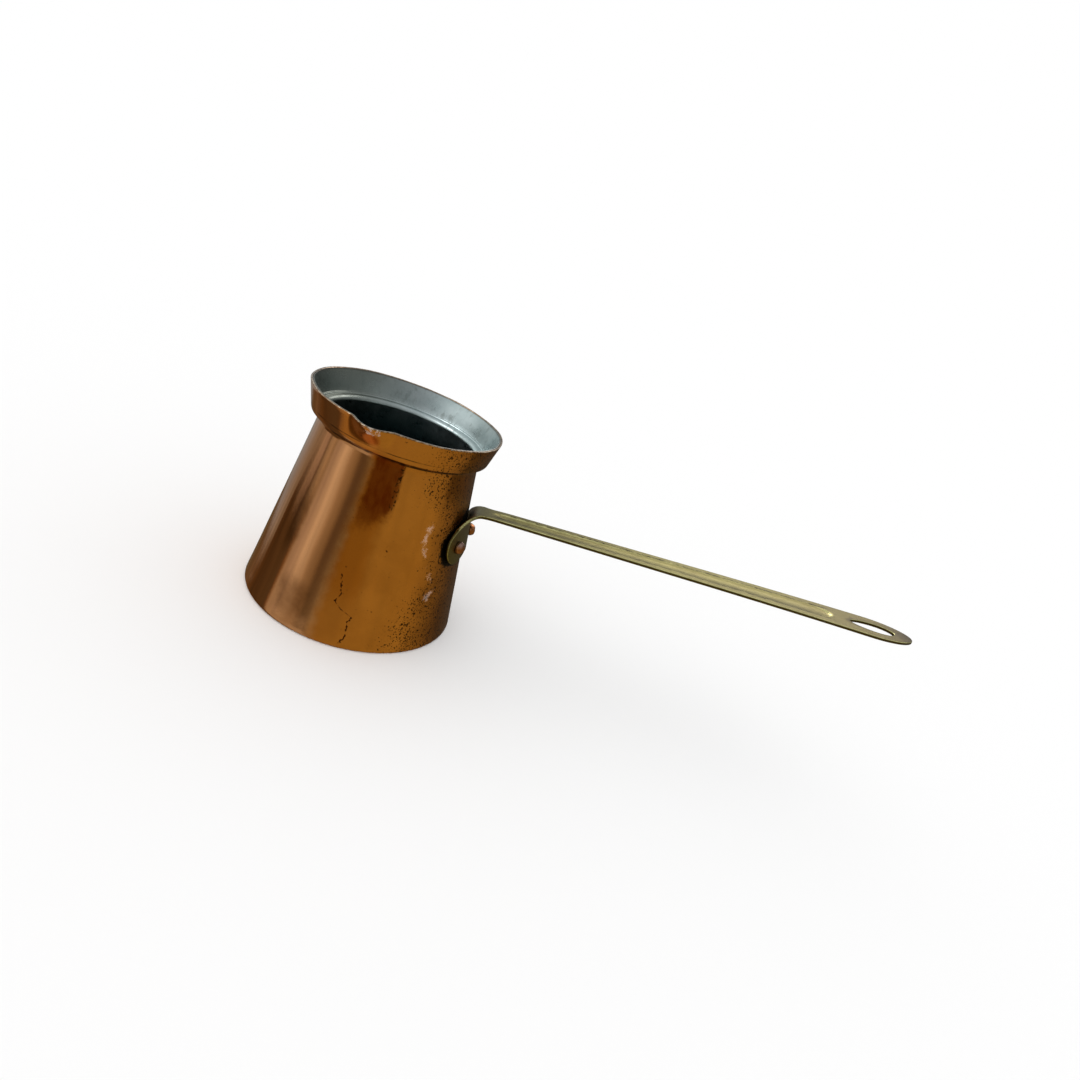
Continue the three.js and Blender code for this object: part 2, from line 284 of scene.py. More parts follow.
def copper_outline():
    """Out along the base and up to the rim, then down the inside to the middle of the floor."""
    inner_neck = wall_radius(LEDGE_HEIGHT + SHEET) - SHEET
    return refined(rounded([
        (0, 0, 0),
        (BASE_RADIUS, 0, 1.1),
        (wall_radius(LEDGE_HEIGHT), LEDGE_HEIGHT, 2.9),
        (COLLAR_RADIUS - 0.2, LEDGE_HEIGHT + 0.35, 0.8),
        (RIM_RADIUS + 0.03, RIM_HEIGHT, 0.3),
        (RIM_RADIUS - SHEET, RIM_HEIGHT, 0.3),
        (COLLAR_RADIUS - SHEET - 0.25, LEDGE_HEIGHT + SHEET + 0.3, 0.4),
        (inner_neck, LEDGE_HEIGHT + SHEET, 2.0),
        (BASE_RADIUS - SHEET - 0.2, SHEET, 2.0),
        (0, SHEET, 0),
    ]), 1.5)


def tin_outline():
    """The tin's back, from under the floor up to the rim, then its bright inside down again."""
    neck_height = COLLAR_HEIGHT - 0.1
    neck = wall_radius(neck_height) - TIN_OFFSET
    collar = COLLAR_RADIUS - TIN_OFFSET
    floor = SHEET + 0.55
    bright = refined(rounded([
        (RIM_RADIUS - SHEET - 0.42, RIM_HEIGHT - 0.1, 0),
        (collar + 0.05, COLLAR_HEIGHT + 0.45, 0.25),
        (collar - 0.35, COLLAR_HEIGHT + 0.4, 0.15),
        (collar - 0.55, COLLAR_HEIGHT + 0.6, 0.15),
        (collar - 1.0, COLLAR_HEIGHT + 0.5, 0.2),
        (collar - 1.25, COLLAR_HEIGHT + 0.05, 0.15),
        (neck, neck_height, 1.9),
        (wall_radius(floor) - TIN_OFFSET, floor, 2.2),
        (0, floor, 0),
    ], 0.2), 1.6)
    return np.vstack([shifted(bright, -TIN_THICKNESS)[::-1], bright])


# ---- Handle ----
# The strip is drawn flat, as (s, y): s runs up the wall, round the bend and out along the bar, and
# is 0 where the bend begins. It is then bent into place. Depth runs through the strip, from the
# face against the wall, which is also the bar's upper face.

FROM_WALL = np.array([math.cos(WALL_LEAN), math.sin(WALL_LEAN)])
UP_WALL = np.array([-math.sin(WALL_LEAN), math.cos(WALL_LEAN)])
BELOW_BAR = np.array([math.sin(BAR_RISE), -math.cos(BAR_RISE)])
ALONG_BAR = np.array([math.cos(BAR_RISE), math.sin(BAR_RISE)])


def bend_frame():
    """The centre of the bend as (x, z), and the length of strip in it."""
    slope = math.tan(BAR_RISE)
    seat = BASE_RADIUS + SEAT_GAP / math.cos(WALL_LEAN)
    corner_z = (BAR_TOP_AT_AXIS + slope * seat) / (1 + slope * WALL_TAPER)
    corner = np.array([seat - WALL_TAPER * corner_z, corner_z])
    centre = corner + (FROM_WALL + BELOW_BAR) * BEND_RADIUS / (1 + FROM_WALL @ BELOW_BAR)
    return centre, BEND_RADIUS * (math.pi / 2 + WALL_LEAN - BAR_RISE)


BEND_CENTRE, BEND_LENGTH = bend_frame()
BEND_START = BEND_CENTRE - BEND_RADIUS * FROM_WALL
BEND_END = BEND_CENTRE - BEND_RADIUS * BELOW_BAR


def s_of_height(z):
    return (z - BEND_START[1]) / UP_WALL[1]


def s_of_x(x):
    return BEND_LENGTH + (x - BEND_END[0]) / ALONG_BAR[0]


def x_of_s(s):
    return BEND_END[0] + (s - BEND_LENGTH) * ALONG_BAR[0]


def bent(flat, depth):
    """Bends flat points (s, y) at a depth into place, as (x, y, z)."""
    s, y = flat[:, 0], flat[:, 1]
    turn = np.clip(s / BEND_RADIUS, 0, BEND_LENGTH / BEND_RADIUS)
    phi = math.pi + WALL_LEAN - turn
    inward = -np.stack([np.cos(phi), np.sin(phi)], 1)
    centre_line = BEND_CENTRE - BEND_RADIUS * inward
    centre_line += np.minimum(s, 0)[:, None] * UP_WALL
    centre_line += np.maximum(s - BEND_LENGTH, 0)[:, None] * ALONG_BAR
    wrap = LUG_WRAP * (1 - smooth(s, -5, BEND_LENGTH * 0.9))
    radius = wall_radius(np.clip(centre_line[:, 1], 0, NECK_HEIGHT))
    sin = np.clip(y / radius, -0.8, 0.8)
    tilt = wrap * np.arcsin(sin)
    sag = wrap * radius * (1 - np.sqrt(1 - sin**2))
    x = centre_line[:, 0] - sag + depth * inward[:, 0] * np.cos(tilt)
    z = centre_line[:, 1] + depth * inward[:, 1] * np.cos(tilt)
    bow = -BOW * np.clip((x - BOW_START_X) / (BAR_TIP_X - BOW_START_X), 0, None) ** 2
    return np.stack([x, y + depth * np.sin(tilt) + bow, z], 1)


def resampled(loop, spacing):
    """A closed loop with evenly spaced points."""
    loop = np.vstack([loop, loop[:1]])
    length = np.concatenate([[0], np.cumsum(np.linalg.norm(np.diff(loop, axis=0), axis=1))])
    count = int(round(length[-1] / spacing))
    at = np.arange(count) * length[-1] / count
    return np.stack([np.interp(at, length, loop[:, 0]), np.interp(at, length, loop[:, 1])], 1)


def cubic(a, b, c, d, steps):
    t = np.linspace(0, 1, steps + 1)[1:, None]
    a, b, c, d = (np.array(p) for p in (a, b, c, d))
    return (1 - t) ** 3 * a + 3 * t * (1 - t) ** 2 * b + 3 * t**2 * (1 - t) * c + t**3 * d


def handle_side(waist_half_width):
    """One side of the flat strip, from the middle of the lug's lower edge to the middle of the tip."""
    side = [(s_of_height(LUG_BOTTOM_MIDDLE), 0.0)]
    for degrees in range(-100, 1, 5):
        a = math.radians(degrees)
        height = LOBE_HEIGHT + LOBE_RADIUS * math.sin(a)
        side.append((s_of_height(height), LOBE_Y + LOBE_RADIUS * math.cos(a)))
    widest = side[-1]
    waist = (WAIST_S, waist_half_width)
    start = (s_of_x(BAR_START_X), BAR_START_HALF_WIDTH)
    side.extend(cubic(widest, (widest[0] + 7, widest[1]), (waist[0] - 4, waist[1] + 3), waist, 20))
    side.extend(cubic(waist, (waist[0] + 4.5, waist[1] - 3.4), (start[0] - 8, start[1]), start, 16))
    for degrees in range(0, 91, 3):
        a = math.radians(degrees)
        x = BAR_SHOULDER_X + (BAR_TIP_X - BAR_SHOULDER_X) * math.sin(a)
        side.append((s_of_x(x), BAR_HALF_WIDTH * math.cos(a)))
    return np.array([tuple(point) for point in side])


def handle_outline():
    """Runs anticlockwise, so that the metal is on its left."""
    far, near = map(handle_side, WAIST_HALF_WIDTHS)
    loop = np.vstack([far, near[1:-1][::-1] * (1, -1)])
    return resampled(loop, HANDLE_EDGE_SPACING)[::-1]


def slot_outline():
    """An egg-shaped slot. Runs clockwise, so that the metal is on its left here too."""
    a = np.linspace(0, 2 * math.pi, SLOT_SEGMENTS, endpoint=False)
    x = SLOT_X + SLOT_HALF_LENGTH * np.cos(a)
    y = SLOT_HALF_WIDTH * np.sin(a) * (1 + SLOT_EGG * np.cos(a))
    return resampled(np.stack([s_of_x(x), y], 1), SLOT_EDGE_SPACING)[::-1]


def rivet_hole_outline(side):
    """Narrowed in the flat strip, so that it is round on the bent plate. Runs clockwise."""
    a = np.linspace(0, 2 * math.pi, HOLE_SEGMENTS, endpoint=False)
    middle_y = side * (wall_radius(RIVET_HEIGHT) + SEAT_GAP) * math.sin(RIVET_AZIMUTH)
    half_width = HOLE_RADIUS * math.cos(RIVET_AZIMUTH)
    s = s_of_height(RIVET_HEIGHT) + HOLE_RADIUS * np.cos(a)
    return np.stack([s, middle_y + half_width * np.sin(a)], 1)[::-1]


def inset(loop, distance):
    """A closed loop moved towards its left, which is into the metal."""
    ahead = np.roll(loop, -1, axis=0) - loop
    ahead /= np.linalg.norm(ahead, axis=1)[:, None]
    normal = np.stack([-ahead[:, 1], ahead[:, 0]], 1)
    total = normal + np.roll(normal, 1, axis=0)
    return loop + total * (distance / (1 + (normal * np.roll(normal, 1, axis=0)).sum(1)))[:, None]


def inside(points, loop):
    """Which points are inside a loop: a line to their right crosses it an odd number of times."""
    x, y = points[:, :1], points[:, 1:]
    a, b = loop, np.roll(loop, -1, axis=0)
    crosses = (a[:, 1] > y) != (b[:, 1] > y)
    run, rise = b[:, 0] - a[:, 0], b[:, 1] - a[:, 1]
    at = a[:, 0] + (y - a[:, 1]) * run / np.where(rise == 0, 1, rise)
    return (crosses & (x < at)).sum(1) % 2 == 1


def in_metal(points, loops):
    """Which points are inside the first loop and outside all the others."""
    keep = inside(points, loops[0])
    for hole in loops[1:]:
        keep &= ~inside(points, hole)
    return keep


def distance_to(points, others):
    """From each point to the nearest of the others, in batches that fit in memory."""
    batch = 500
    nearest = np.empty(len(points))
    for i in range(0, len(points), batch):
        gap = points[i:i + batch, None, :] - others[None]
        nearest[i:i + batch] = np.sqrt((gap**2).sum(2)).min(1)
    return nearest


def flute_half_width(x):
    """Half the flute's width at x, rounded to nothing at both ends."""
    share = np.clip((x - FLUTE_START_X) / (FLUTE_END_X - FLUTE_START_X), 0, 1)
    narrow, wide = FLUTE_HALF_WIDTHS
    full = narrow + (wide - narrow) * share
    from_end = np.clip(np.minimum(x - FLUTE_START_X, FLUTE_END_X - x) / FLUTE_ROUNDING, 0, 1)
    return full * np.sqrt(1 - (1 - from_end) ** 2)


def flute_depth(flat):
    """How deep the flute is at flat points. It gets shallower as it narrows to its ends."""
    x = x_of_s(flat[:, 0])
    half = flute_half_width(x)
    share = np.clip(np.abs(flat[:, 1]) / np.maximum(half, 1e-6), 0, 1)
    floor = FLUTE_DEPTH * np.minimum(1, half / FLUTE_HALF_WIDTHS[0]) ** 1.5
    return np.where(half > 0, floor * (1 - share**2.4), 0)


def face_points(loops, flute):
    """Points inside a broad face: an even grid, and lines along its edges and the flute's border."""
    start, end = loops[0][:, 0].min(), loops[0][:, 0].max()
    width = np.abs(loops[0][:, 1]).max()
    s, y = np.meshgrid(np.arange(start, end, GRID_ALONG), np.arange(-width, width + 0.3, GRID_ACROSS))
    s, y = s.ravel(), y.ravel()
    odd_row = np.round(y / GRID_ACROSS) % 2
    grid = np.stack([s + GRID_STAGGER * odd_row, y], 1)
    borders = [inset(loop, EDGE_LINE_INSET) for loop in loops]
    if flute:
        x = np.arange(FLUTE_START_X + 0.4, FLUTE_END_X, FLUTE_LINE_SPACING)
        half = flute_half_width(x)
        for side in (-1, 1):
            for out in FLUTE_LINES:
                borders.append(np.stack([s_of_x(x), side * np.maximum(half + out, 0.05)], 1))
    lines = np.vstack(borders)
    grid = grid[distance_to(grid, lines) > LINE_CLEARANCE]
    points = np.vstack([lines, grid])
    points = points[in_metal(points, loops)]
    return points[distance_to(points, np.vstack(loops)) > EDGE_CLEARANCE]


def edge_rows():
    """The rows of points down the strip's rounded edge, as (distance into the metal, depth)."""
    quarter = np.radians([0, 25, 50, 72, 90])
    rows = [(EDGE_ROUNDING * (1 - math.sin(a)), EDGE_ROUNDING * (1 - math.cos(a))) for a in quarter]
    return rows + [(inward, STRIP - depth) for inward, depth in rows[::-1]]


def broad_face(edges, extra):
    """Triangles between the edges of a broad face, as places in the list of its points."""
    bounds = []
    at = 0
    for edge in edges:
        n = len(edge)
        bounds.extend((at + i, at + (i + 1) % n) for i in range(n))
        at += n
    flat = [Vector(point) for point in np.vstack(edges + [extra])]
    corners, _, triangles, sources, _, _ = geometry.delaunay_2d_cdt(flat, bounds, [], 1, 1e-5)
    middles = np.array([sum((corners[v] for v in face), Vector((0, 0))) / 3 for face in triangles])
    kept = zip(triangles, in_metal(middles, edges))
    return [[sources[v][0] for v in face] for face, keep in kept if keep]


def handle_mesh():
    """The strip's rounded edges and its two broad faces, drawn flat and then bent into place."""
    loops = [handle_outline(), slot_outline(), rivet_hole_outline(-1), rivet_hole_outline(1)]
    rows = edge_rows()
    points, depths, faces = [], [], []
    first_rows, last_rows = [], []
    total = 0
    for loop in loops:
        n = len(loop)
        for j, (inward, depth) in enumerate(rows):
            points.append(inset(loop, inward))
            depths.append(np.full(n, depth))
            if j:
                a, b = total + (j - 1) * n, total + j * n
                faces.extend((b + i, b + (i + 1) % n, a + (i + 1) % n, a + i) for i in range(n))
        last = total + (len(rows) - 1) * n
        first_rows.extend(range(total, total + n))
        last_rows.extend(range(last, last + n))
        total += n * len(rows)

    edges = [inset(loop, EDGE_ROUNDING) for loop in loops]
    for fluted, rim in ((True, first_rows), (False, last_rows)):
        extra = face_points(edges, fluted)
        index = rim + list(range(total, total + len(extra)))
        points.append(extra)
        depths.append(flute_depth(extra) if fluted else np.full(len(extra), STRIP))
        total += len(extra)
        for face in broad_face(edges, extra):
            corners = tuple(index[place] for place in face)
            faces.append(corners if fluted else corners[::-1])
    return bent(np.vstack(points), np.concatenate(depths)), faces


# ---- Rivets ----


def on_wall(points, side):
    """Points drawn about +Z, with the wall's outside at 0, moved to a rivet's place."""
    azimuth = side * RIVET_AZIMUTH
    outward = Vector((
        math.cos(WALL_LEAN) * math.cos(azimuth),
        math.cos(WALL_LEAN) * math.sin(azimuth),
        math.sin(WALL_LEAN),
    ))
    turn = np.array(Vector((0, 0, 1)).rotation_difference(outward).to_matrix())
    radius = wall_radius(RIVET_HEIGHT)
    place = np.array([radius * math.cos(azimuth), radius * math.sin(azimuth), RIVET_HEIGHT])
    return points @ turn.T + place


def rivet_mesh(side):
    under_head = SEAT_GAP + STRIP + HEAD_CLEARANCE
    under_inner = -(TIN_OFFSET + INNER_HEAD_CLEARANCE)
    outline = rounded([
        (0, under_inner - INNER_HEAD_HEIGHT, 0),
        (INNER_HEAD_RADIUS - 0.1, under_inner - INNER_HEAD_HEIGHT, 0.5),
        (INNER_HEAD_RADIUS, under_inner, 0.1),
        (SHANK_RADIUS, under_inner, 0.2),
        (SHANK_RADIUS, under_head, 0.2),
        (HEAD_RADIUS, under_head, 0.15),
        (HEAD_RADIUS - 0.05, under_head + 0.95, 0.5),
        (HEAD_RADIUS - 0.7, under_head + HEAD_HEIGHT - 0.4, 1.0),
        (HEAD_RADIUS - 1.8, under_head + HEAD_HEIGHT, 1.2),
        (0, under_head + HEAD_HEIGHT, 0),
    ], 0.2)

    def hammered(radius, height, angle):
        """Dents the outer head, each rivet's in its own way."""
        dent = ripple(radius, height * 2 + side * 9, angle, *HAMMER_DENTS)
        on_head = smooth(height, under_head, under_head + 0.6)
        return radius + dent * on_head * (radius > 0.4), height + dent * 0.4 * on_head

    points, faces = turned(outline, RIVET_SEGMENTS, hammered)
    return on_wall(points, side), faces


def drill(piece):
    """Cuts the two rivet holes through a wall."""
    profile = [(0, BIT_BOTTOM), (HOLE_RADIUS, BIT_BOTTOM), (HOLE_RADIUS, BIT_TOP), (0, BIT_TOP)]
    points, faces = turned(profile, HOLE_SEGMENTS)
    bits = []
    for side in (-1, 1):
        bit = make_object("drill_bit", on_wall(points, side), faces)
        cut = piece.modifiers.new("hole", "BOOLEAN")
        cut.operation = "DIFFERENCE"
        cut.solver = "EXACT"
        cut.object = bit
        bits.append(bit)
    depsgraph = bpy.context.evaluated_depsgraph_get()
    drilled = bpy.data.meshes.new_from_object(piece.evaluated_get(depsgraph))
    piece.modifiers.clear()
    piece.data = drilled
    for bit in bits:
        bpy.data.objects.remove(bit, do_unlink=True)


# ---- Materials ----


class Shader:
    """A node tree with short calls for the nodes that the finishes use."""

    def __init__(self, tree):
        self.tree = tree
        self.tree.nodes.clear()

    def put(self, socket, value):
        if isinstance(value, bpy.types.NodeSocket):
            self.tree.links.new(value, socket)
        elif value is not None:
            socket.default_value = value

    def node(self, kind, inputs=(), **settings):
        made = self.tree.nodes.new(kind)
        for name, value in settings.items():
            setattr(made, name, value)
        for key, value in dict(inputs).items():
            self.put(made.inputs[key], value)
        return made

    def math(self, operation, a, b=None):
        return self.node("ShaderNodeMath", {0: a, 1: b}, operation=operation).outputs[0]

    def add(self, a, b):
        return self.math("ADD", a, b)

    def minus(self, a, b):
        return self.math("SUBTRACT", a, b)

    def times(self, a, b):
        return self.math("MULTIPLY", a, b)

    def highest(self, a, b):
        return self.math("MAXIMUM", a, b)

    def lowest(self, a, b):
        return self.math("MINIMUM", a, b)

    def size_of(self, a):
        return self.math("ABSOLUTE", a)

    def length(self, a, b):
        """The distance of the point (a, b) from the origin."""
        return self.math("SQRT", self.add(self.times(a, a), self.times(b, b)))

    def ramp(self, value, low, high, to_low=0.0, to_high=1.0, shape="SMOOTHSTEP"):
        """A smooth step of value from low to high, or with shape LINEAR a straight slope."""
        inputs = {"Value": value, "From Min": low, "From Max": high, "To Min": to_low, "To Max": to_high}
        return self.node("ShaderNodeMapRange", inputs, interpolation_type=shape).outputs[0]

    def within(self, value, low, high, edge):
        """1 between low and high, fading to 0 over the edge on either side."""
        return self.times(self.ramp(value, low - edge, low), self.ramp(value, high + edge, high))

    def track(self, value, low, high, points):
        """A piecewise line through (value, height) points; the heights are returned."""
        bottom = min(point[1] for point in points)
        span = max(point[1] for point in points) - bottom
        share = self.math("DIVIDE", self.add(value, -low), high - low)
        stops = []
        for at, height in sorted(points):
            level = (height - bottom) / span
            stops.append(((at - low) / (high - low), (level, level, level)))
        line = self.node("ShaderNodeSeparateColor", {0: self.stops(share, stops)}).outputs[0]
        return self.add(self.times(line, span), bottom)

    def jitter(self, vector, scale, amount):
        """Noise centred on 0."""
        return self.times(self.add(self.noise(vector, scale, 4.0, 0.6), -0.5), amount)

    def mix(self, share, a, b):
        """The colour a where share is 0, and b where it is 1."""
        return self.node("ShaderNodeMix", {0: share, 6: a, 7: b}, data_type="RGBA").outputs[2]

    def mix_value(self, share, a, b):
        return self.node("ShaderNodeMix", {0: share, 2: a, 3: b}, data_type="FLOAT").outputs[0]

    def noise(self, vector, scale, detail, roughness):
        inputs = {"Vector": vector, "Scale": scale, "Detail": detail, "Roughness": roughness}
        return self.node("ShaderNodeTexNoise", inputs).outputs[0]

    def split(self, vector):
        """The vector's x, y and z."""
        return tuple(self.node("ShaderNodeSeparateXYZ", {0: vector}).outputs)

    def stretched(self, vector, x, y, z):
        return self.node("ShaderNodeMapping", {"Vector": vector, "Scale": (x, y, z)}).outputs[0]

    def stops(self, value, colours):
        """A colour ramp from (position, (r, g, b)) stops."""
        made = self.node("ShaderNodeValToRGB", {0: value})
        elements = made.color_ramp.elements
        while len(elements) < len(colours):
            elements.new(0.5)
        for element, (position, colour) in zip(elements, colours):
            element.position = position
            element.color = (*colour, 1)
        return made.outputs[0]

    def bump(self, height, strength, distance, normal=None):
        inputs = {"Strength": strength, "Distance": distance, "Height": height, "Normal": normal}
        return self.node("ShaderNodeBump", inputs).outputs[0]


def new_material(name):
    made = bpy.data.materials.new(name)
    made.use_nodes = True
    return made, Shader(made.node_tree)


def finish_material(shader, colour, roughness, normal, metallic=1.0):
    surface = shader.node("ShaderNodeBsdfPrincipled", {
        "Base Color": colour,
        "Metallic": metallic,
        "Roughness": roughness,
        "Normal": normal,
    })
    shader.node("ShaderNodeOutputMaterial", {0: surface.outputs[0]})


def object_position(shader):
    """The object's own coordinates in millimetres, whole and split."""
    place = shader.node("ShaderNodeTexCoord").outputs["Object"]
    place = shader.stretched(place, 1000, 1000, 1000)
    return place, *shader.split(place)


# In the finishes, places are heights in millimetres and azimuths in degrees, noise scales are per
# millimetre, amounts of dirt and wear run from 0 to 1, and colours are linear.

# The crack and the line of scuffs, as (height, azimuth) points up the wall.
CRACK = [
    (2.5, -77.5), (6, -75.5), (12, -76.5), (14.3, -75), (16.2, -81),
    (19, -86), (22, -84), (27, -85.5), (30.5, -87),
]
SCUFF = [
    (21, -35), (24, -33), (28, -32), (34, -36), (39, -40),
    (43, -43), (48, -46), (53, -44), (60, -44),
]

BRIGHT_COPPER = (0.90, 0.52, 0.31, 1)
GOLDEN_OXIDE = (0.84, 0.35, 0.078, 1)
DARKER_OXIDE = (0.74, 0.30, 0.064, 1)
RED_OXIDE = (0.66, 0.235, 0.035, 1)
PAINTED_DARK_REFLECTION = (0.30, 0.14, 0.06, 1)
HEAT_STAIN_AND_REFLECTION = (0.20, 0.032, 0.002, 1)
CHAR = (0.05, 0.016, 0.004, 1)
TARNISH = (0.17, 0.055, 0.005, 1)
SPECKLE = (0.03, 0.011, 0.003, 1)
CRACKED_OXIDE = (0.09, 0.022, 0.005, 1)
RUBBED_COPPER = (0.30, 0.235, 0.225, 1)
DIRTY_RIM = (0.09, 0.06, 0.04, 1)
WORN_RIM = (0.42, 0.36, 0.28, 1)
BLACK_GRIME_AND_SHADE = (0.012, 0.008, 0.005, 1)

GREY_TIN = (0.46, 0.52, 0.52, 1)
PALE_TIN = (0.60, 0.65, 0.65, 1)
SHADED_GREENISH_TIN = (0.24, 0.255, 0.225, 1)
TIN_STAIN = (0.20, 0.22, 0.20, 1)
TIN_PITS = (0.10, 0.11, 0.10, 1)
DEEP_TIN = (0.11, 0.175, 0.18, 1)
TIN_EDGE_DIRT = (0.13, 0.11, 0.09, 1)

OLIVE_BRASS = (0.22, 0.18, 0.06, 1)
YELLOW_BRASS = (0.285, 0.245, 0.09, 1)
BROWN_BRASS = (0.17, 0.12, 0.05, 1)
STREAKED_BRASS = (0.13, 0.10, 0.04, 1)
BURNT_BRASS = (0.06, 0.038, 0.018, 1)
SHADED_SIDE_BRASS = (0.085, 0.058, 0.016, 1)
WORN_AND_HIGHLIT_CORNER = (0.88, 0.80, 0.36, 1)
PLATE_BRASS = (0.14, 0.105, 0.03, 1)
BRASS_SPOTS = (0.05, 0.035, 0.012, 1)
BRASS_GRIME_AND_SHADE = (0.022, 0.015, 0.006, 1)

DARK_RIVET = (0.33, 0.115, 0.035, 1)
LIGHT_RIVET = (0.52, 0.22, 0.09, 1)
CROWN_HIGHLIGHT = (0.20, 0.23, 0.26, 1)
RIVET_DIRT = (0.05, 0.03, 0.015, 1)
TINNED_RIVET = (0.42, 0.46, 0.47, 1)


def copper_material():
    """Bright copper on the side away from the handle, golden brown oxide towards it."""
    made, s = new_material("aged_copper")
    place, x, y, z = object_position(s)
    azimuth = s.times(s.math("ARCTAN2", y, x), 180 / math.pi)
    wavy = s.add(azimuth, s.jitter(place, 0.14, 9))
    on_collar = s.ramp(z, 79, 81)
    blotch = s.noise(place, 0.06, 4, 0.6)
    fine = s.noise(place, 2.8, 4, 0.7)
    coarse = s.noise(place, 0.6, 5, 0.75)
    dots = s.highest(s.noise(place, 1.5, 2, 0.5), s.add(s.noise(place, 0.85, 2, 0.5), -0.02))

    to_oxide = s.add(wavy, s.times(on_collar, 22))
    oxide = s.times(s.ramp(to_oxide, -97, -89), s.ramp(azimuth, 140, 90))
    golden = s.mix(s.ramp(blotch, 0.35, 0.7), GOLDEN_OXIDE, DARKER_OXIDE)
    redder = s.times(s.within(wavy, -93, -80, 8), s.ramp(z, 12, 30))
    golden = s.mix(s.times(redder, s.ramp(z, 81, 79)), golden, RED_OXIDE)
    colour = s.mix(oxide, BRIGHT_COPPER, golden)

    # Two painted dark reflections on the bright side, half way up and near the foot.
    dark_reflection = s.times(s.within(wavy, -127, -122, 5), s.within(z, 36, 46, 12))
    by_foot = s.times(s.within(wavy, -114, -105, 7), s.within(z, 9, 16, 7))
    dark_reflection = s.times(s.highest(dark_reflection, by_foot), s.ramp(blotch, 0.35, 0.6, 0.35, 0.6))
    colour = s.mix(dark_reflection, colour, PAINTED_DARK_REFLECTION)

    # A red brown patch high on the wall, a heat stain deepened by a painted dark reflection, with
    # charred flecks along one side.
    above = s.add(z, s.times(s.add(azimuth, 83), -0.47))
    above = s.add(above, s.jitter(place, 0.25, 7))
    patch_sides = s.within(s.add(azimuth, s.jitter(place, 0.3, 4)), -88, -73, 4.0)
    stain_and_reflection = s.times(patch_sides, s.ramp(s.add(above, s.jitter(place, 0.5, 5)), 48, 55))
    stain_and_reflection = s.times(stain_and_reflection, s.ramp(z, 80, 79))
    stain_and_reflection = s.times(stain_and_reflection, s.ramp(z, 47, 62, 0.5, 0.97))
    runs = s.noise(s.stretched(place, 1, 1, 0.3), 0.35, 4, 0.6)
    stain_and_reflection = s.times(stain_and_reflection, s.ramp(runs, 0.3, 0.6, 1.0, 0.82))
    colour = s.mix(stain_and_reflection, colour, HEAT_STAIN_AND_REFLECTION)
    char_side = s.within(s.add(azimuth, s.jitter(place, 0.5, 3)), -73, -71, 0.8)
    char = s.times(s.times(char_side, s.within(z, 61, 77, 2)), s.ramp(coarse, 0.5, 0.56))
    colour = s.mix(char, colour, CHAR)

    # Dark tarnish beside the handle, spreading further under the collar and at the foot.
    ends = s.highest(s.ramp(z, 56, 70), s.ramp(z, 36, 10))
    reach = s.add(s.add(azimuth, s.times(ends, 6)), s.jitter(place, 0.11, 22))
    not_behind = s.ramp(reach, 75, 45)
    sides = s.lowest(s.ramp(reach, -46, -8), not_behind)
    blot = s.within(s.add(azimuth, s.jitter(place, 0.2, 12)), -33, 0, 9)
    blot = s.times(blot, s.ramp(s.add(z, s.jitter(place, 0.2, 10)), 60, 70))
    tarnish = s.highest(sides, s.times(blot, 0.95))
    colour = s.mix(s.times(tarnish, 0.85), colour, TARNISH)
    spread = s.times(s.ramp(s.add(reach, s.times(ends, 12)), -66, -20), not_behind)
    threshold = s.ramp(s.highest(s.highest(tarnish, spread), s.times(oxide, 0.2)), 0, 1, 0.79, 0.585)
    speckle = s.ramp(s.minus(dots, threshold), 0.0, 0.03)
    colour = s.mix(s.times(speckle, 0.92), colour, SPECKLE)

    # A broken crack in the oxide, and pits.
    crack_line = s.track(z, 0, 32, CRACK)
    off_crack = s.size_of(s.add(s.minus(azimuth, crack_line), s.jitter(place, 0.8, 3.0)))
    crack_width = s.ramp(s.noise(place, 0.7, 3, 0.6), 0.36, 0.66, 0.0, 0.42)
    crack = s.times(s.ramp(s.minus(off_crack, crack_width), 0.16, 0.0), s.within(z, 3, 30, 1.0))
    crack = s.times(crack, s.ramp(crack_width, 0.03, 0.1))
    pits = s.times(s.ramp(s.noise(place, 0.9, 2, 0.5), 0.735, 0.75), oxide)
    colour = s.mix(s.highest(crack, pits), colour, CRACKED_OXIDE)

    # Pale scuffs where the oxide has been rubbed through.
    scuff_line = s.track(z, 20, 61, SCUFF)
    off_scuff = s.size_of(s.add(s.minus(azimuth, scuff_line), s.jitter(place, 0.4, 5.0)))
    near_scuff = s.times(s.ramp(off_scuff, 6.0, 0.5), s.within(z, 24, 57, 3.0))
    patch = s.ramp(s.noise(place, 0.16, 2, 0.5), 0.46, 0.56)
    coarser = s.add(s.times(coarse, 0.3), s.times(s.noise(place, 0.22, 3, 0.6), 0.35))
    scuff_grain = s.add(s.times(fine, 0.35), coarser)
    scuff = s.ramp(s.add(s.times(near_scuff, 0.2), scuff_grain), 0.66, 0.74)
    scuff = s.times(s.times(scuff, patch), 0.8)
    lip_wear = s.times(s.within(azimuth, -97, -89, 2), s.ramp(z, 85.5, 87.5))
    lip_wear = s.ramp(s.add(s.times(lip_wear, 0.3), coarse), 0.80, 0.86)
    pale = s.highest(scuff, lip_wear)
    colour = s.mix(s.times(pale, 0.85), colour, RUBBED_COPPER)
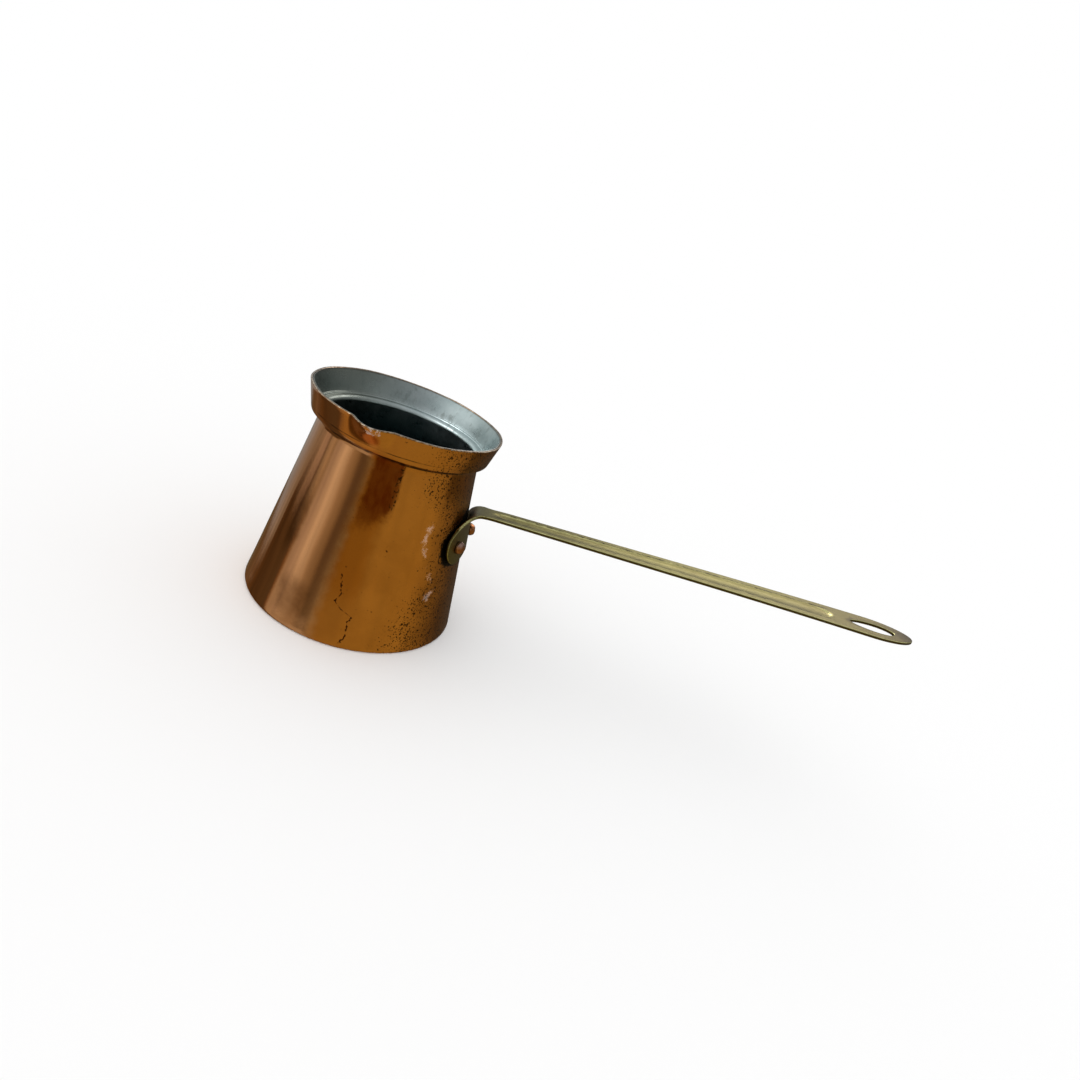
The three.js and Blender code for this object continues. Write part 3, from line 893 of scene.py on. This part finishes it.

    # Black grime with painted shadow round the lug plate and in the crease under the collar, grime in a
    # scored line above it, and a worn, dirty rim.
    across = s.size_of(y)
    from_lobe = s.length(s.add(across, -LOBE_Y), s.add(z, -LOBE_HEIGHT))
    from_plate_top = s.length(across, s.add(z, -51.5))
    near_lug = s.lowest(s.add(from_lobe, -LOBE_RADIUS), s.add(from_plate_top, -7.5))
    near_lug = s.add(s.add(near_lug, s.jitter(place, 0.25, 5.0)), s.jitter(place, 0.9, 2.5))
    # Round the lug plate: painted shadow of the plate's standing-off edge, with grime.
    grime_and_shade = s.times(s.ramp(near_lug, 2.6, 0.9), s.ramp(x, 0, 5))
    # Under the collar: painted shadow of the ledge, with dirt.
    crease = s.within(s.add(z, s.jitter(place, 0.35, 0.8)), 77.7, 79.5, 0.4)
    crease = s.times(crease, s.ramp(s.noise(place, 0.2, 4, 0.6), 0.34, 0.6, 0.35, 0.92))
    scored = s.within(s.add(z, s.jitter(place, 0.2, 0.3)), 81.5, 81.75, 0.16)
    scored = s.times(scored, s.ramp(s.noise(place, 0.15, 4, 0.6), 0.36, 0.6, 0.1, 0.7))
    crease = s.highest(crease, scored)
    rim = s.times(s.ramp(z, 89.75, 90.0), 0.8)
    colour = s.mix(rim, colour, s.mix(s.ramp(coarse, 0.45, 0.55), DIRTY_RIM, WORN_RIM))
    colour = s.mix(s.highest(grime_and_shade, crease), colour, BLACK_GRIME_AND_SHADE)

    hairlines = s.noise(s.stretched(place, 1, 1, 9), 0.8, 4, 0.6)
    normal = s.bump(hairlines, 0.035, 0.0005)
    normal = s.bump(s.highest(speckle, s.highest(crack, char)), 0.15, 0.0002, normal)
    normal = s.bump(s.times(grime_and_shade, s.add(fine, coarse)), 0.5, 0.0006, normal)
    roughness = s.ramp(oxide, 0, 1, 0.045, 0.18)
    roughness = s.add(roughness, s.jitter(place, 0.3, 0.05))
    roughness = s.add(roughness, s.times(s.highest(speckle, s.times(tarnish, 0.7)), 0.25))
    roughness = s.highest(roughness, s.times(s.highest(grime_and_shade, pale), 0.55))
    finish_material(s, colour, roughness, normal, s.ramp(pale, 0, 1, 1, 0.1))
    return made


def tin_material():
    """Wiped tin: stained, darker and greenish away from the handle as painted shade, and dark deep
    inside.
    """
    made, s = new_material("wiped_tin")
    place, x, _, z = object_position(s)
    cloud = s.noise(place, 0.09, 5, 0.65)
    stain = s.noise(s.stretched(place, 1, 1, 0.4), 0.35, 5, 0.7)
    grain = s.noise(place, 1.6, 4, 0.7)
    colour = s.mix(s.ramp(cloud, 0.3, 0.7), GREY_TIN, PALE_TIN)
    # Painted shade: darker and greener on the side away from the handle.
    colour = s.mix(s.ramp(x, 6, -34), colour, SHADED_GREENISH_TIN)
    colour = s.mix(s.ramp(stain, 0.52, 0.70, 0, 0.45), colour, TIN_STAIN)
    colour = s.mix(s.ramp(grain, 0.66, 0.72, 0, 0.6), colour, TIN_PITS)
    deep = s.ramp(z, 77.5, 66)
    colour = s.mix(deep, colour, DEEP_TIN)
    edge = s.ramp(s.add(z, s.jitter(place, 0.4, 0.5)), 89.4, 89.9)
    colour = s.mix(s.times(edge, 0.7), colour, TIN_EDGE_DIRT)
    wipe = s.noise(s.stretched(place, 1, 1, 6), 0.5, 5, 0.7)
    roughness = s.ramp(s.add(s.times(wipe, 0.5), s.times(cloud, 0.5)), 0.3, 0.7, 0.24, 0.40)
    roughness = s.add(roughness, s.ramp(stain, 0.5, 0.7, 0, 0.12))
    normal = s.bump(wipe, 0.06, 0.0005)
    normal = s.bump(stain, 0.08, 0.0004, normal)
    finish_material(s, colour, roughness, normal)
    return made


def brass_material():
    """Dull olive brass: grime along the flute, painted shade on the sides, worn bright with a painted
    highlight on the corners.
    """
    made, s = new_material("unpolished_brass")
    place, x, y, z = object_position(s)
    blotch = s.noise(place, 0.08, 5, 0.65)
    fine = s.noise(place, 1.4, 5, 0.7)
    streak = s.noise(s.stretched(place, 0.12, 1, 1), 1.2, 5, 0.7)
    colour = s.mix(s.ramp(blotch, 0.3, 0.7), OLIVE_BRASS, YELLOW_BRASS)
    to_tip = s.ramp(s.add(x, s.times(s.add(blotch, -0.5), 60)), 150, 245)
    colour = s.mix(s.times(to_tip, 0.7), colour, BROWN_BRASS)
    colour = s.mix(s.ramp(streak, 0.52, 0.70, 0, 0.5), colour, STREAKED_BRASS)

    # The tip is burnt brown, and the slot's edge is dirty.
    burnt = s.ramp(s.add(x, s.jitter(place, 0.25, 12)), 218, 235)
    along_slot = s.times(s.add(x, -SLOT_X), 1 / SLOT_HALF_LENGTH)
    across_slot = s.times(s.add(y, BOW * 0.65), 1 / SLOT_HALF_WIDTH)
    from_slot = s.length(along_slot, across_slot)
    slot_dirt = s.times(s.ramp(s.add(from_slot, s.jitter(place, 0.4, 0.5)), 1.35, 1.05), 0.6)
    slot_dirt = s.times(slot_dirt, s.ramp(x, 195, 203))
    colour = s.mix(s.highest(s.times(burnt, 0.85), slot_dirt), colour, BURNT_BRASS)

    # The flute's edges hold dirt. The bow moves them sideways towards the tip.
    past_bow = s.highest(s.add(x, -BOW_START_X), 0.0)
    bow = s.times(s.times(past_bow, past_bow), BOW / (BAR_TIP_X - BOW_START_X) ** 2)
    half_width = s.ramp(x, FLUTE_START_X, FLUTE_END_X, *FLUTE_HALF_WIDTHS, shape="LINEAR")
    off_edge = s.size_of(s.minus(s.size_of(s.add(y, bow)), half_width))
    dirt = s.times(s.ramp(off_edge, 0.7, 0.25), s.within(x, FLUTE_START_X + 3, FLUTE_END_X - 2, 3))
    broken = s.noise(s.stretched(place, 0.35, 1, 1), 0.9, 5, 0.7)
    dirt = s.times(dirt, s.ramp(broken, 0.42, 0.60, 0.1, 0.9))

    # Side faces, told from the broad faces by the surface's own direction.
    facing = s.node("ShaderNodeNewGeometry").outputs["Normal"]
    normal_x, normal_y, normal_z = s.split(facing)
    radius = s.length(x, y)
    out_of_wall = s.math("DIVIDE", s.add(s.times(normal_x, x), s.times(normal_y, y)), radius)
    on_bar = s.ramp(x, 42, 47)
    flatness = s.mix_value(on_bar, s.size_of(out_of_wall), s.size_of(normal_z))
    across_bend = s.math("SQRT", s.minus(1.0, s.times(normal_y, normal_y)))
    in_bend = s.times(s.ramp(z, 53.5, 55), s.ramp(x, 50, 47))
    flatness = s.mix_value(in_bend, flatness, across_bend)
    side_face = s.ramp(flatness, 0.62, 0.35)
    corner = s.within(flatness, 0.60, 0.90, 0.07)
    # Painted shade darkens the side faces.
    colour = s.mix(s.times(side_face, 0.75), colour, SHADED_SIDE_BRASS)
    # The corners are worn bright and carry a painted highlight.
    colour = s.mix(s.times(corner, s.ramp(streak, 0.4, 0.6, 0.6, 1.0)), colour, WORN_AND_HIGHLIT_CORNER)

    # The lug plate is darker and speckled, with black grime and painted shadow where its side meets the
    # wall.
    on_plate = s.ramp(x, 47, 41)
    colour = s.mix(s.times(on_plate, 0.5), colour, PLATE_BRASS)
    spots = s.ramp(fine, 0.565, 0.64, 0, 0.85)
    colour = s.mix(s.times(spots, s.ramp(x, 62, 50, 0.25, 1.0)), colour, BRASS_SPOTS)
    from_wall = s.add(radius, s.add(s.times(z, WALL_TAPER), -BASE_RADIUS))
    # Painted shadow of the gap, with dirt, on the plate's sides next to the wall.
    crevice_dirt_and_shade = s.times(s.ramp(s.add(from_wall, s.jitter(place, 0.7, 0.8)), 1.6, 1.1), on_plate)
    grime_and_shade = s.highest(dirt, s.times(crevice_dirt_and_shade, side_face))
    colour = s.mix(grime_and_shade, colour, BRASS_GRIME_AND_SHADE)

    roughness = s.ramp(s.add(s.times(blotch, 0.5), s.times(streak, 0.5)), 0.3, 0.7, 0.30, 0.46)
    roughness = s.add(roughness, s.times(corner, -0.14))
    roughness = s.highest(roughness, s.times(grime_and_shade, 0.6))
    normal = s.bump(streak, 0.08, 0.0004)
    normal = s.bump(s.add(fine, s.times(grime_and_shade, -0.5)), 0.1, 0.0003, normal)
    finish_material(s, colour, roughness, normal)
    return made


def rivet_material():
    """Hammered copper with a dirty foot and a painted grey highlight on the crown. Its inner head is
    tinned.
    """
    made, s = new_material("hammered_copper")
    place, x, y, z = object_position(s)
    blotch = s.noise(place, 0.7, 4, 0.6)
    colour = s.mix(s.ramp(blotch, 0.3, 0.7), DARK_RIVET, LIGHT_RIVET)
    # A painted grey highlight on the crown, stronger on the head at -Y.
    crown_highlight = s.ramp(s.add(z, s.jitter(place, 0.5, 1.5)), RIVET_HEIGHT + 0.9, RIVET_HEIGHT + 2.4)
    crown_highlight = s.times(crown_highlight, s.ramp(y, 0, -4, 0.05, 0.45))
    colour = s.mix(crown_highlight, colour, CROWN_HIGHLIGHT)
    radius = s.length(x, y)
    foot = s.within(radius, 38.0, 39.3, 0.3)
    colour = s.mix(s.times(foot, 0.7), colour, RIVET_DIRT)
    colour = s.mix(s.ramp(radius, 36.9, 36.6), colour, TINNED_RIVET)
    normal = s.bump(blotch, 0.2, 0.0003)
    finish_material(s, colour, s.ramp(blotch, 0.3, 0.7, 0.2, 0.36), normal)
    return made


# ---- Stage ----

CAMERA_PLACE = (56.3, -287.2, 173.2)
CAMERA_YAW = math.radians(-6.1)
CAMERA_PITCH = math.radians(22.9)
CAMERA_ROLL = math.radians(24.73)
CAMERA_LENS = 24.03
CAMERA_SHIFT = (-0.0306, 0.0282)
FLOOR_HALF_SIZE = 30.0          # metres
FLOOR_COLOUR = 0.9
FLOOR_BRIGHTNESS = 1.0


def make_camera():
    camera = bpy.data.cameras.new("camera")
    camera.lens = CAMERA_LENS
    camera.sensor_width = 36
    camera.shift_x, camera.shift_y = CAMERA_SHIFT
    camera.clip_start, camera.clip_end = 0.01, 100
    made = add_object("camera", camera)
    made.matrix_world = (
        Matrix.Translation(Vector(CAMERA_PLACE) * MM)
        @ Matrix.Rotation(CAMERA_YAW, 4, "Z")
        @ Matrix.Rotation(math.pi / 2 - CAMERA_PITCH, 4, "X")
        @ Matrix.Rotation(CAMERA_ROLL, 4, "Z")
    )
    bpy.context.scene.camera = made


def make_floor():
    """A pale floor that the metal doesn't reflect."""
    half = FLOOR_HALF_SIZE
    corners = [(-half, -half, 0), (half, -half, 0), (half, half, 0), (-half, half, 0)]
    mesh = bpy.data.meshes.new("floor")
    mesh.from_pydata(corners, [], [(0, 1, 2, 3)])
    floor = add_object("floor", mesh)
    material, s = new_material("pale_floor")
    surface = s.node("ShaderNodeBsdfDiffuse", {"Color": (FLOOR_COLOUR, FLOOR_COLOUR, FLOOR_COLOUR, 1)})
    s.node("ShaderNodeOutputMaterial", {0: surface.outputs[0]})
    mesh.materials.append(material)
    floor.visible_glossy = False


def make_world():
    """White to the eye and to the floor. The metal's reflections see a dim room instead: a warm
    table top below, in broad upright bands of light and shade, and cool window light above.
    """
    world = bpy.data.worlds.new("studio")
    bpy.context.scene.world = world
    world.use_nodes = True
    world.cycles.sampling_method = "NONE"
    s = Shader(world.node_tree)
    way = s.node("ShaderNodeTexCoord").outputs["Generated"]
    x, y, z = s.split(way)
    around = s.add(s.times(s.math("ARCTAN2", y, x), 1 / (2 * math.pi)), 0.5)
    around = s.add(around, s.jitter(s.stretched(way, 1, 1, 2.5), 5.0, 0.012))

    def band(stops):
        """Colours round the horizon, from (azimuth in degrees, colour) stops."""
        return s.stops(around, [((azimuth + 180) / 360, colour) for azimuth, colour in stops])

    low = band([
        (-180, (0.075, 0.045, 0.018)), (-171, (0.08, 0.05, 0.02)), (-165, (0.075, 0.05, 0.025)),
        (-164, (0.20, 0.10, 0.03)), (-162.5, (0.22, 0.11, 0.03)), (-161, (0.27, 0.21, 0.14)),
        (-153, (0.29, 0.23, 0.15)), (-151, (0.17, 0.14, 0.12)), (-149.5, (0.27, 0.21, 0.14)),
        (-143, (0.24, 0.175, 0.10)), (-136, (0.20, 0.14, 0.07)), (-125, (0.21, 0.14, 0.07)),
        (-121, (0.13, 0.095, 0.045)), (-113, (0.14, 0.10, 0.05)), (-109, (0.27, 0.21, 0.11)),
        (-60, (0.315, 0.265, 0.12)), (-10, (0.305, 0.255, 0.11)), (30, (0.20, 0.165, 0.09)),
        (70, (0.11, 0.10, 0.08)), (110, (0.13, 0.10, 0.06)), (135, (0.115, 0.065, 0.025)),
        (147, (0.14, 0.085, 0.04)), (158, (0.10, 0.05, 0.015)), (165, (0.065, 0.035, 0.012)),
        (180, (0.075, 0.045, 0.018)),
    ])
    high = band([
        (-180, (0.31, 0.24, 0.17)), (-175.5, (0.31, 0.24, 0.17)), (-174, (0.12, 0.08, 0.045)),
        (-172.5, (0.12, 0.08, 0.045)), (-171, (0.34, 0.27, 0.17)), (-163, (0.29, 0.22, 0.13)),
        (-161.5, (0.15, 0.11, 0.06)), (-160, (0.30, 0.24, 0.16)), (-154, (0.35, 0.28, 0.20)),
        (-144, (0.50, 0.42, 0.29)), (-138, (0.47, 0.39, 0.26)), (-134, (0.28, 0.21, 0.12)),
        (-125, (0.22, 0.155, 0.075)), (-121, (0.10, 0.065, 0.03)), (-113, (0.09, 0.06, 0.028)),
        (-109, (0.17, 0.13, 0.06)), (-100, (0.27, 0.23, 0.11)), (-60, (0.315, 0.265, 0.12)),
        (-10, (0.305, 0.255, 0.11)), (30, (0.21, 0.175, 0.10)), (70, (0.12, 0.11, 0.09)),
        (105, (0.14, 0.13, 0.12)), (123, (0.27, 0.27, 0.25)), (140, (0.27, 0.26, 0.25)),
        (158, (0.225, 0.185, 0.13)), (172, (0.23, 0.18, 0.12)), (180, (0.31, 0.24, 0.17)),
    ])
    # Where the low band ends and the high one begins, as the sine of the elevation.
    horizon = s.track(around, 0, 1, [((azimuth + 180) / 360, sine) for azimuth, sine in (
        (-180, -0.225), (-164, -0.215), (-161, -0.30), (-125, -0.30), (-119, -0.24), (95, -0.30),
        (118, -0.365), (152, -0.385), (161, -0.37), (164, -0.24), (180, -0.225),
    )])
    over = s.minus(s.add(z, s.jitter(way, 6.0, 0.05)), horizon)
    # Low and to the left of the lip, there is a paler patch of the table.
    left_of_lip = s.within(around, 18 / 360, 66 / 360, 2 / 360)
    low = s.mix(s.times(s.ramp(z, -0.318, -0.33), left_of_lip), low, (0.34, 0.27, 0.17, 1))
    table = s.mix(s.ramp(over, -0.015, 0.015), low, high)
    window = s.mix(s.ramp(z, 0.1, 0.9), (0.30, 0.32, 0.33, 1), (0.55, 0.58, 0.60, 1))
    window = s.mix(s.ramp(x, 0.0, -0.8), window, (0.80, 0.88, 0.88, 1))
    room = s.mix(s.ramp(z, -0.03, 0.12), table, window)
    rays = s.node("ShaderNodeLightPath").outputs
    glossy = rays["Is Glossy Ray"]
    light = FLOOR_BRIGHTNESS / FLOOR_COLOUR
    ground = (FLOOR_BRIGHTNESS, FLOOR_BRIGHTNESS, FLOOR_BRIGHTNESS, 1)
    seen = s.mix(glossy, s.mix(rays["Is Camera Ray"], (light, light, light, 1), ground), room)
    # Faint upright streaks in what the metal sees.
    streaks = s.noise(s.stretched(way, 1, 1, 0.07), 26.0, 5, 0.6)
    strength = s.add(1.0, s.times(glossy, s.ramp(streaks, 0.35, 0.65, -0.22, 0.22)))
    shine = s.node("ShaderNodeBackground", {"Color": seen, "Strength": strength})
    s.node("ShaderNodeOutputWorld", {0: shine.outputs[0]})


def make_softbox(name, place, aim, size, power, tint):
    """An area light that shows in reflections and doesn't light the floor."""
    lamp = bpy.data.lights.new(name, "AREA")
    lamp.shape = "RECTANGLE"
    lamp.size, lamp.size_y = size
    lamp.energy = power
    lamp.color = tint
    made = add_object(name, lamp)
    made.location = place
    made.rotation_euler = (Vector(aim) - Vector(place)).to_track_quat("-Z", "Y").to_euler()
    made.visible_diffuse = False


# ---- Scene ----

make_camera()
make_floor()
make_world()
make_softbox("softbox_left", place=(-0.7, -0.35, 0.75), aim=(0, 0, 0.06), size=(0.5, 0.5),
             power=2.2, tint=(0.96, 0.98, 1))
make_softbox("softbox_back", place=(0.35, 0.8, 0.7), aim=(0.05, 0, 0.06), size=(0.6, 0.4),
             power=2.0, tint=(1, 0.99, 0.97))
bpy.context.scene.view_settings.view_transform = "Standard"

copper = make_object("copper_shell", *turned(copper_outline(), POT_SEGMENTS, shape_pot))
copper.data.materials.append(copper_material())
tin = make_object("tin_wash", *turned(tin_outline(), POT_SEGMENTS, shape_pot))
tin.data.materials.append(tin_material())
handle = make_object("brass_handle", *handle_mesh())
handle.data.materials.append(brass_material())
rivet_finish = rivet_material()
pieces = [(copper, "pot_body", "copper"), (tin, "tin_lining", "tin"), (handle, "handle", "brass")]
for rivet_side, node in ((-1, "rivet_left"), (1, "rivet_right")):
    rivet = make_object(node + "_copper", *rivet_mesh(rivet_side))
    rivet.data.materials.append(rivet_finish)
    pieces.append((rivet, node, "rivet_copper"))

drill(copper)
drill(tin)

for piece, node, material_slot in pieces:
    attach(piece, "root")
    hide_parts(node)
